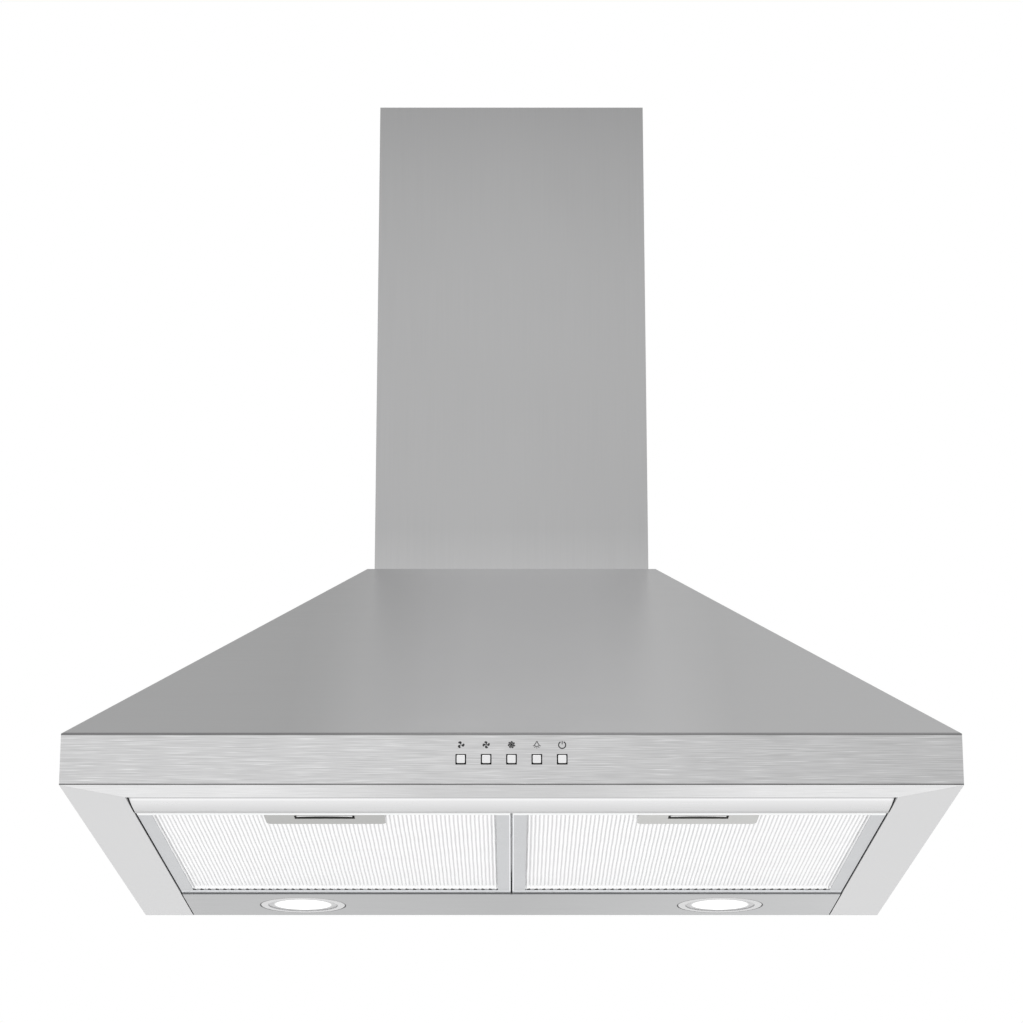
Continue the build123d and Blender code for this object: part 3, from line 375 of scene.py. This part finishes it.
finishes = {
    "canopy": steel("canopy_steel", STEEL, 0.36, (14.0, 500.0, 900.0), 0.1, 0.0, canopy_shade),
    "chimney": steel("chimney_steel", STEEL, 0.34, (1100.0, 1100.0, 10.0), 0.08, 0.0, chimney_shade),
    "fascia": steel("fascia_steel", FASCIA, 0.34, (26.0, 1900.0, 1900.0), 0.85, 0.4, fascia_shade),
    "rail": steel("rail_steel", RAIL, 0.3, (18.0, 700.0, 700.0), 0.05, 0.0, rail_shade),
    "panel": steel("panel_steel", PANEL, 0.34, (14.0, 700.0, 700.0), 0.05, 0.0, panel_shade),
    "inner": steel("inner_steel", STEEL, 0.4, (40.0, 500.0, 500.0), 0.06),
    "galvanised": galvanised("galvanised_sheet", (0.5, 0.52, 0.53)),
    # Painted light: the centre bar is much lighter than the other steel, so that the gap between the filters
    # looks less dark.
    "bar": metal("centre_bar_steel", (0.88, 0.88, 0.88), 0.4),
    "screw": metal("zinc_plate", (0.6, 0.6, 0.58), 0.28),
    "frame": metal("filter_frame_aluminium", (0.56, 0.57, 0.585), 0.3, 500.0, 0.05, frame_shade),
    "handle": metal("handle_satin", (0.44, 0.44, 0.428), 0.38, 600.0, 0.05, handle_shade),
    "wheel": plastic("wheel_plastic", (0.05, 0.05, 0.055), 0.5),
    "motor": metal("motor_enamel", (0.1, 0.105, 0.11), 0.45),
    "copper": metal("stator_copper", (0.55, 0.27, 0.13), 0.35),
    "ground": metal("ground_steel", (0.58, 0.58, 0.6), 0.2),
    "bronze": metal("sintered_bronze", (0.5, 0.34, 0.15), 0.45, 1500.0, 0.3),
    "black": plastic("black_plastic", (0.02, 0.02, 0.022), 0.48),
    "white": plastic("white_plastic", (0.72, 0.72, 0.7), 0.42),
    "button": metal("button_satin", (0.82, 0.82, 0.825), 0.3, 1200.0, 0.05, button_shade),
    "trim": metal("lamp_trim", (0.67, 0.67, 0.675), 0.28, 700.0, 0.05),
}

finish_nodes = {
    "canopy": ["canopy_shell"],
    "chimney": ["chimney_lower", "chimney_upper"],
    "fascia": ["front_fascia"],
    "rail": ["front_rail"],
    "panel": ["lamp_panel"],
    "bar": ["filter_centre_bar"],
    "inner": ["filter_guide_left", "filter_guide_right"],
    "galvanised": ["back_plate", "ceiling_bracket", "blower_housing_left", "blower_housing_right",
                   "inlet_ring_left", "inlet_ring_right", "motor_holder", "capacitor_clamp",
                   "switch_bracket"],
    "screw": ["chimney_screws", "bracket_screws", "blower_screws", "inlet_screws", "wheel_nut"],
    "wheel": ["impeller"],
    "motor": ["motor_body"],
    "copper": ["motor_stator"],
    "ground": ["motor_rotor", "damper_pin", "lamp_left_clips", "lamp_right_clips"],
    "bronze": ["motor_bushes"],
    "black": ["outlet_collar", "damper_flap_front", "damper_flap_rear", "cable_gland", "switch_body"],
    "white": ["terminal_box", "terminal_box_cover", "capacitor", "lamp_driver", "lamp_left_housing",
              "lamp_right_housing"],
    "trim": ["lamp_left_bezel", "lamp_right_bezel"],
    "frame": ["filter_left_frame", "filter_right_frame", "filter_left_mesh", "filter_right_mesh"],
    "handle": ["filter_left_handle", "filter_right_handle", "filter_left_latch", "filter_right_latch"],
    "button": BUTTONS,
}


# Lamps

LAMP_PLACE = ((LENS_LOW[0] + LENS_HIGH[0]) / 2, (LENS_LOW[1] + LENS_HIGH[1]) / 2)
GLOW_RADIUS = 23.5 * MM
GLOW_FADE = 3.0 * MM


def lamp_glow(shop):
    """Frosted lens that glows evenly over the light-emitting board behind it and not at its edge."""
    x, y, z = shop.parts(shop.place())
    across = abs(x) - LAMP_PLACE[0]
    along = y - LAMP_PLACE[1]
    radius = (across * across + along * along) ** 0.5
    glow = radius.ramp(GLOW_RADIUS, GLOW_RADIUS - GLOW_FADE)
    frost = shop.noise(shop.place(), (600.0,) * 3, 2.0, 0.5)
    return {
        "Base Color": shop.tint((0.88, 0.88, 0.885), 0.96 + frost * 0.06),
        "Roughness": (0.4 + frost * 0.1).clamped(),
        "Emission Color": shop.tint((1.0, 1.0, 0.99), glow),
        "Emission Strength": 0.9,
    }


lens_material = material("lamp_glow", lamp_glow)


def dress(name, finish):
    """Give every material slot of a CAD node one finish."""
    thing = nodes[name]
    if not thing.material_slots:
        thing.data.materials.append(finish)
    for slot in thing.material_slots:
        slot.material = finish


for key, names in finish_nodes.items():
    for name in names:
        dress(name, finishes[key])
for word in ("left", "right"):
    dress(f"lamp_{word}_lens", lens_material)


# Rounded edges

JOIN_DISTANCE = 0.002 * MM
FLAT_ANGLE = 0.5
EDGE_ANGLE = 35.0
EDGE_SEGMENTS = 2


def soften(name, width):
    """Join a CAD node's loose triangles and round its sharp edges."""
    thing = nodes[name]
    weld = thing.modifiers.new("join", "WELD")
    weld.merge_threshold = JOIN_DISTANCE
    flats = thing.modifiers.new("flats", "DECIMATE")
    flats.decimate_type = "DISSOLVE"
    flats.angle_limit = radians(FLAT_ANGLE)
    bevel = thing.modifiers.new("edges", "BEVEL")
    bevel.width = width
    bevel.segments = EDGE_SEGMENTS
    bevel.limit_method = "ANGLE"
    bevel.angle_limit = radians(EDGE_ANGLE)
    bevel.harden_normals = False


edge_widths = {
    "canopy_shell": 0.35, "chimney_lower": 0.3, "chimney_upper": 0.3, "front_fascia": 0.3, "front_rail": 0.25,
    "lamp_panel": 0.2, "back_plate": 0.2, "outlet_collar": 0.3, "filter_left_frame": 0.22,
    "filter_right_frame": 0.22, "filter_left_handle": 0.22, "filter_right_handle": 0.22,
}
for name, width in edge_widths.items():
    soften(name, width * MM)


# Mesh making

def mesh_piece(name, points, faces, finish, body, smooth=True):
    """A mesh object at the origin from an array of points and an array of quads."""
    mesh = bpy.data.meshes.new(name)
    mesh.vertices.add(len(points))
    mesh.vertices.foreach_set("co", np.asarray(points, np.float32).ravel())
    mesh.loops.add(faces.size)
    mesh.loops.foreach_set("vertex_index", faces.ravel().astype(np.int32))
    mesh.polygons.add(len(faces))
    mesh.polygons.foreach_set("loop_start", np.arange(0, faces.size, faces.shape[1], dtype=np.int32))
    mesh.polygons.foreach_set("use_smooth", np.full(len(faces), smooth))
    mesh.update(calc_edges=True)
    mesh.validate()
    made = bpy.data.objects.new(name, mesh)
    bpy.context.scene.collection.objects.link(made)
    mesh.materials.append(finish)
    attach(made, body)
    return made


def grid_faces(rows, columns, start=0):
    """Quads that join a grid of points, row after row."""
    corner = (np.arange(rows - 1)[:, None] * columns + np.arange(columns - 1)[None, :]).ravel() + start
    return np.stack([corner, corner + 1, corner + columns + 1, corner + columns], axis=1)


def ring_faces(rows, columns):
    """Quads of a grid that closes on itself both ways."""
    row = np.arange(rows)[:, None]
    column = np.arange(columns)[None, :]
    next_row = (row + 1) % rows
    next_column = (column + 1) % columns
    corners = [row * columns + column, next_row * columns + column,
               next_row * columns + next_column, row * columns + next_column]
    return np.stack([corner.ravel() for corner in corners], axis=1)


# Filter mesh: a pleated sheet whose ribs run from front to back

RIBS = 86
PLEAT_SAMPLES = 12
PLEAT_RISE = 1.3 * MM
PLEAT_POWER = 1.6
RIB_ROWS = 24
POCKET_ROWS = 6
BORDER_ROWS = 3
CRIMP_ROWS = 12
CRIMP_LENGTH = 7.0 * MM
CRIMP_DROP = 1.3 * MM
CRIMP_END = 1.0 * MM
CRIMP_FLATNESS = 0.8
POCKET_HALF = 27.0 * MM
POCKET_OVERLAP = 1.0 * MM
DRIFT = 0.12 * MM
DRIFT_ALONG = 90.0
DRIFT_ACROSS = 37.0
SHEET_LIFT = 0.1 * MM
SHEET_WALL = 0.25 * MM
STRAND_ACROSS = 5200.0
STRAND_ALONG = 2600.0
MOUTH_PITCH = 5.98 * MM
MOUTH_DEPTH = 1.8 * MM


def ribs_light(shop):
    """Bright aluminium with the small diamonds of expanded metal, painted shade that darkens it up in the
    pleats, a painted glow that is weaker there, and a dark mouth of painted shadow at every second pleat
    where the sheet enters the rear border."""
    place = shop.place()
    x, y, z = shop.parts(place)
    depth = z.ramp(RIBS_BASE + 0.25 * MM, RIBS_BASE + 1.35 * MM)
    one_way = (x * STRAND_ACROSS + y * STRAND_ALONG).sine()
    other_way = (x * STRAND_ACROSS - y * STRAND_ALONG).sine()
    strand = (one_way * other_way + 1) * 0.5
    cloud = shop.noise(place, (25.0, 25.0, 25.0), 3.0, 0.6)
    mouth = (x * (2 * np.pi / MOUTH_PITCH)).sine().above(0.15) * y.above(BORDER_EDGE - MOUTH_DEPTH)
    light = (1.04 - depth * 0.24 * (0.75 + strand * 0.5)) * (0.97 + cloud * 0.06)
    return {
        "Base Color": shop.tint((0.93, 0.93, 0.935), light * (1 - mouth * 0.6)),
        "Metallic": 0.6,
        "Roughness": (0.32 + depth * 0.2).clamped(),
        # Painted light: the sheet glows a little, less in its pleats and not at all at the mouths, though it
        # is no lamp.
        "Emission Color": shop.tint((1.0, 1.0, 1.0), (0.17 - depth * 0.12) * (1 - mouth)),
        "Emission Strength": 1.0,
    }


ribs_material = material("filter_ribs", ribs_light)


def pleated_sheet(word):
    """Height over X is the sheet's base plus its rise times a power of half of one plus a cosine,
    so that broad flat ribs face down and narrow folds go up between them. A slow sine of X and Y
    makes the ribs wander a little. Near the rear border an S curve, three squares less two cubes,
    flattens the folds and brings the sheet down to the border's flange."""
    low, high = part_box(f"filter_{word}_mesh")
    handle_low, handle_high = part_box(f"filter_{word}_handle")
    columns = RIBS * PLEAT_SAMPLES + 1
    along_x = np.linspace(low[0], high[0], columns)
    cut = handle_high[1] - POCKET_OVERLAP
    crimp_start = BORDER_EDGE - CRIMP_LENGTH
    along_y = np.concatenate([
        np.linspace(low[1] + HAIR, cut, POCKET_ROWS, endpoint=False),
        np.linspace(cut, crimp_start, RIB_ROWS, endpoint=False),
        np.linspace(crimp_start, BORDER_EDGE, CRIMP_ROWS, endpoint=False),
        np.linspace(BORDER_EDGE, high[1] - HAIR, BORDER_ROWS),
    ])
    share = np.clip((along_y - crimp_start) / (CRIMP_LENGTH - CRIMP_END), 0, 1)[:, None]
    crimp = share * share * (3 - 2 * share)
    phase = np.linspace(0, 2 * np.pi * RIBS, columns)
    fold = ((0.5 + 0.5 * np.cos(phase)) ** PLEAT_POWER)[None, :] * (1 - CRIMP_FLATNESS * crimp)
    grid_x, grid_y = np.meshgrid(along_x, along_y)
    drift = DRIFT * np.sin(along_y[:, None] * DRIFT_ALONG + along_x[None, :] * DRIFT_ACROSS)
    base = low[2] + SHEET_LIFT - CRIMP_DROP * crimp
    grid_z = base + PLEAT_RISE * fold + 0.5 * (drift + DRIFT) * (1 - fold) * (1 - crimp)
    points = np.stack([grid_x + drift * 0.6, grid_y, grid_z], axis=-1).reshape(-1, 3)
    faces = grid_faces(len(along_y), columns)[:, ::-1]
    middles = points[faces].mean(axis=1)
    pocket = np.abs(middles[:, 0] - (handle_low[0] + handle_high[0]) / 2) < POCKET_HALF
    pocket &= middles[:, 1] < cut
    name = f"filter_{word}_ribs"
    made = mesh_piece(name, points, faces[~pocket], ribs_material, f"filter_{word}")
    wall = made.modifiers.new("wall", "SOLIDIFY")
    wall.thickness = SHEET_WALL
    wall.offset = 0.0
    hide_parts(f"filter_{word}_mesh")


for word in ("left", "right"):
    pleated_sheet(word)


# Rubber rings in the chamfer around each lamp's bezel

SEAL_WIDTH = 0.9 * MM
SEAL_HEIGHT = 0.5 * MM
SEAL_INSET = 0.15 * MM
SEAL_LIFT = 0.3 * MM
SEAL_ROWS = 96
SEAL_COLUMNS = 12


def lamp_seal(word):
    """A ring about the lamp's upright axis whose section is an ellipse, its angle going once round."""
    low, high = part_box(f"lamp_{word}_bezel")
    centre_x = (low[0] + high[0]) / 2
    centre_y = (low[1] + high[1]) / 2
    around = np.linspace(0, 2 * np.pi, SEAL_ROWS + 1)[:-1, None]
    section = np.linspace(0, 2 * np.pi, SEAL_COLUMNS + 1)[None, :-1]
    radius = (high[0] - low[0]) / 2 - SEAL_INSET + SEAL_WIDTH / 2 * np.cos(section)
    up = low[2] + SEAL_LIFT + SEAL_HEIGHT / 2 * np.sin(section) + 0 * around
    points = np.stack([centre_x + radius * np.cos(around), centre_y + radius * np.sin(around), up], axis=-1)
    faces = ring_faces(SEAL_ROWS, SEAL_COLUMNS)
    mesh_piece(f"lamp_{word}_seal", points.reshape(-1, 3), faces, finishes["black"], "root")


for word in ("left", "right"):
    lamp_seal(word)


# Finger grips: bowed plates that lie in the handles' slots and slide with the latches

GRIP_WIDTH = 39.0 * MM
GRIP_DEPTH = 4.2 * MM
GRIP_RISE = 0.3 * MM
GRIP_SHEET = 0.5 * MM
GRIP_LIFT = 0.35 * MM
LIP_FROM_TIP = 13.7 * MM
GRIP_ROWS = 41
GRIP_COLUMNS = 14
grip_finish = metal("grip_polished", (0.72, 0.72, 0.72), 0.22, 900.0, 0.05)


def latch_grip(word):
    """A sheet whose depth grows from the middle to its ends with the square of the distance, and which
    climbs evenly with its depth."""
    handle_low, handle_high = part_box(f"filter_{word}_handle")
    middle = (handle_low[0] + handle_high[0]) / 2
    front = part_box(f"filter_{word}_latch")[0][1] + LIP_FROM_TIP
    across = np.linspace(-1, 1, GRIP_ROWS)[:, None]
    along = np.linspace(0, 1, GRIP_COLUMNS)[None, :]
    reach = GRIP_DEPTH * (0.3 + 0.7 * across ** 2)
    y = front + reach * along
    z = handle_low[2] + GRIP_LIFT + GRIP_RISE * reach * along / GRIP_DEPTH
    x = middle + GRIP_WIDTH / 2 * across + 0 * along
    points = np.stack([x, y, z], axis=-1).reshape(-1, 3)
    faces = grid_faces(GRIP_ROWS, GRIP_COLUMNS)[:, ::-1]
    made = mesh_piece(f"latch_{word}_grip", points, faces, grip_finish, f"latch_{word}")
    wall = made.modifiers.new("wall", "SOLIDIFY")
    wall.thickness = GRIP_SHEET
    wall.offset = -1.0


for word in ("left", "right"):
    latch_grip(word)


# Control symbols printed above the buttons

ICON_RADIUS = 2.55 * MM
ICON_RISE = 9.9 * MM
INK_HEIGHT = 0.04 * MM
LIGHT_LINE = 0.5 * MM
RING_LINE = 0.75 * MM
UPRIGHT_LINE = 0.6 * MM
BLADE_SWEEP = 0.5
HUB_SIZE = 0.09 * MM


def ink_light(shop):
    """Dark screen-printed ink, slightly uneven."""
    grain = shop.noise(shop.place(), (2500.0,) * 3, 2.0, 0.5)
    return {
        "Base Color": shop.tint((0.012, 0.012, 0.013), 0.8 + grain * 0.5),
        "Roughness": (0.45 + grain * 0.2).clamped(),
    }


ink = material("printed_ink", ink_light)


def blade_patch(centre, start, widest):
    """One fan blade: the radius grows with s, the middle angle turns by the sweep, and the width
    is the root of a sine of a power of s, widest three quarters of the way out and blunt at the tip,
    plus a little at the root."""
    s = np.linspace(0, 1, 12)[:, None]
    t = np.linspace(-0.5, 0.5, 4)[None, :]
    radius = ICON_RADIUS * (0.1 + 0.9 * s)
    width = widest * np.sin(np.pi * s ** 2.6) ** 0.5 + 0.2 * widest * (1 - s)
    angle = start + BLADE_SWEEP * s + width * t / np.maximum(radius, 0.3 * ICON_RADIUS)
    return centre[0] + radius * np.cos(angle), centre[1] + radius * np.sin(angle)


def hub_patch(centre, size):
    """A small disc: radius times the cosine and sine of an angle that goes once round."""
    radius = np.linspace(0.02, 1, 3)[:, None] * size
    angle = np.linspace(0, 2 * np.pi, 17)[None, :]
    return centre[0] + radius * np.cos(angle), centre[1] + radius * np.sin(angle)


def stroke_patch(points, width):
    """A ribbon along a line of points, half its width to each side of the tangent."""
    line = np.asarray(points, float)
    tangent = np.gradient(line, axis=0)
    tangent /= np.linalg.norm(tangent, axis=1)[:, None]
    normal = np.stack([-tangent[:, 1], tangent[:, 0]], axis=1) * width / 2
    both = np.stack([line - normal, line + normal], axis=1)
    return both[:, :, 0], both[:, :, 1]


def print_patches(name, patches):
    """Lay flat patches on the fascia's face, a hair proud of it, as one closed thin piece."""
    points = []
    faces = []
    for across, up in patches:
        rows, columns = across.shape
        start = sum(len(block) for block in points)
        flat = np.stack([across, np.full(across.shape, FRONT - INK_HEIGHT), up], axis=-1).reshape(-1, 3)
        quads = grid_faces(rows, columns, start)
        first = flat[quads[0] - start]
        turn = np.cross(first[1] - first[0], first[2] - first[0])[1]
        points.append(flat)
        faces.append(quads if turn < 0 else quads[:, ::-1])
    points = np.concatenate(points)
    made = mesh_piece(name, points, np.concatenate(faces), ink, "root", False)
    skin = made.modifiers.new("skin", "SOLIDIFY")
    skin.thickness = INK_HEIGHT
    skin.offset = -1.0


def button_centre(name):
    """Where the middle of a button's symbol lies, as X and Z."""
    low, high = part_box(name)
    return (low[0] + high[0]) / 2, (low[2] + high[2]) / 2 + ICON_RISE


def fan_symbol(name, count, widest, first):
    """A fan of as many blades as the count, the first at an angle in degrees."""
    centre = button_centre(name)
    turns = [radians(first + 360 * i / count) for i in range(count)]
    blades = [blade_patch(centre, turn, widest) for turn in turns]
    print_patches(f"symbol_{name}", blades + [hub_patch(centre, count * HUB_SIZE)])


def light_symbol():
    """A small pendant lamp: two sloping sides, a bowl and rays below it."""
    x, z = button_centre(BUTTONS[3])
    r = ICON_RADIUS
    turn = np.radians(np.linspace(205, 335, 12))
    bowl = np.stack([x + 0.72 * r * np.cos(turn), z + 0.1 * r + 0.55 * r * np.sin(turn)], axis=1)
    roof = [bowl[0], (x - 0.16 * r, z + 0.6 * r), (x - 0.08 * r, z + 0.95 * r)]
    strokes = [
        stroke_patch(bowl, LIGHT_LINE),
        stroke_patch(roof, LIGHT_LINE),
        stroke_patch([(2 * x - px, pz) for px, pz in roof], LIGHT_LINE),
    ]
    for angle in (-160, -125, -90, -55, -20):
        a = radians(angle)
        near = (x + 0.78 * r * np.cos(a), z + 0.68 * r * np.sin(a))
        far = (x + 1.06 * r * np.cos(a), z + 0.98 * r * np.sin(a))
        strokes.append(stroke_patch([near, far], LIGHT_LINE))
    print_patches("symbol_button_light", strokes)


def power_symbol():
    """The usual sign: an open ring with an upright in its gap."""
    x, z = button_centre(BUTTONS[4])
    ring = np.radians(np.linspace(116, 424, 40))
    radius = 0.92 * ICON_RADIUS
    arc = np.stack([x + radius * np.cos(ring), z - 0.06 * ICON_RADIUS + radius * np.sin(ring)], axis=1)
    upright = [(x, z + 0.1 * ICON_RADIUS), (x, z + 0.98 * ICON_RADIUS)]
    strokes = [stroke_patch(arc, RING_LINE), stroke_patch(upright, UPRIGHT_LINE)]
    print_patches("symbol_button_power", strokes)


fan_symbol(BUTTONS[0], 3, 2.2 * MM, -30.0)
fan_symbol(BUTTONS[1], 4, 1.95 * MM, -15.0)
fan_symbol(BUTTONS[2], 7, 1.36 * MM, 10.0)
light_symbol()
power_symbol()


# Camera at the photograph's viewing angle: in front of the hood and below it, looking up

CAMERA_FROM_FASCIA = 1.9855
CAMERA_BELOW = 0.4326
PITCH = 15.49
FOCAL_PIXELS = 3061.0
IMAGE_PIXELS = 1023.0
AXIS_ROW = 614.0
SENSOR = 36.0
camera_data = bpy.data.cameras.new("camera")
camera_data.sensor_width = SENSOR
camera_data.lens = FOCAL_PIXELS / IMAGE_PIXELS * SENSOR
camera_data.shift_y = (AXIS_ROW - IMAGE_PIXELS / 2) / IMAGE_PIXELS
camera = bpy.data.objects.new("camera", camera_data)
camera.location = (0.0, FRONT - CAMERA_FROM_FASCIA, -CAMERA_BELOW)
camera.rotation_euler = (radians(90 + PITCH), 0.0, 0.0)
bpy.context.scene.collection.objects.link(camera)
bpy.context.scene.camera = camera


# Floor, lights and world

def floor_light(shop):
    """Pale matt floor with a faint mottle, which metal and glass see as bright as the background
    and which the camera sees nearly white."""
    mottle = shop.noise(shop.place(), (3.0, 3.0, 3.0), 3.0, 0.5)
    mirrored = shop.ray("Is Glossy Ray").larger(shop.ray("Is Transmission Ray"))
    return {
        "Base Color": shop.tint((0.84, 0.84, 0.84), (0.98 + mottle * 0.04) * (1 - mirrored * 0.9)),
        "Roughness": 0.9,
        "Emission Color": shop.tint((1.0, 1.0, 1.0), mirrored * 0.92 + shop.ray("Is Camera Ray") * 0.3),
        "Emission Strength": 1.0,
    }


FLOOR_Z = -3.4
FLOOR_HALF = 14.0
floor_mesh = bpy.data.meshes.new("floor")
floor_corners = [(x * FLOOR_HALF, y * FLOOR_HALF, FLOOR_Z) for x, y in ((-1, -1), (1, -1), (1, 1), (-1, 1))]
floor_mesh.from_pydata(floor_corners, [], [(0, 1, 2, 3)])
floor = bpy.data.objects.new("floor", floor_mesh)
bpy.context.scene.collection.objects.link(floor)
floor_mesh.materials.append(material("floor_paint", floor_light))


HEART = (0.0, -0.3, 0.2)


def soft_light(name, place, size, power, mirrored=True):
    """A square area lamp that points at the hood's heart, and may be kept out of reflections."""
    data = bpy.data.lights.new(name, "AREA")
    data.shape = "SQUARE"
    data.size = size
    data.energy = power
    lamp = bpy.data.objects.new(name, data)
    bpy.context.scene.collection.objects.link(lamp)
    lamp.location = place
    lamp.visible_glossy = mirrored
    direction = np.array(HEART) - np.array(place)
    flat = np.hypot(direction[0], direction[1])
    lamp.rotation_euler = (np.arctan2(flat, -direction[2]), 0.0, np.arctan2(-direction[0], direction[1]))


soft_light("front_soft", (-0.7, -3.0, 0.9), 2.0, 22.0, False)
soft_light("left_soft", (-2.4, -0.9, 1.0), 1.6, 2.0)
soft_light("right_soft", (2.4, -0.9, 0.8), 1.6, 1.5)

# World: white for the camera, and in reflections a softbox high in front of the hood
SOFTBOX = 1.1
SKY_LIGHT = 0.72
world = bpy.data.worlds.new("studio")
bpy.context.scene.world = world
world.use_nodes = True
sky = Shop(world.node_tree)
seen = sky.ray("Is Camera Ray").larger(sky.ray("Is Transmission Ray"))
glossy = sky.ray("Is Glossy Ray")
view = sky.node("ShaderNodeTexCoord", {}, {}, "Generated")
wx, wy, wz = sky.parts(view)
ahead = wy.ramp(0.0, -0.3)
high = wz.ramp(0.5, 0.65) * wz.ramp(0.97, 0.87)
studio = 1.0 + ahead * high * SOFTBOX
strength = seen + (1 - seen) * (glossy * studio + (1 - glossy) * SKY_LIGHT)
back = sky.node("ShaderNodeBackground", {}, {"Color": (1.0, 1.0, 1.0, 1.0), "Strength": strength})
sky.node("ShaderNodeOutputWorld", {}, {"Surface": back}, None)

bpy.context.scene.view_settings.view_transform = "Standard"
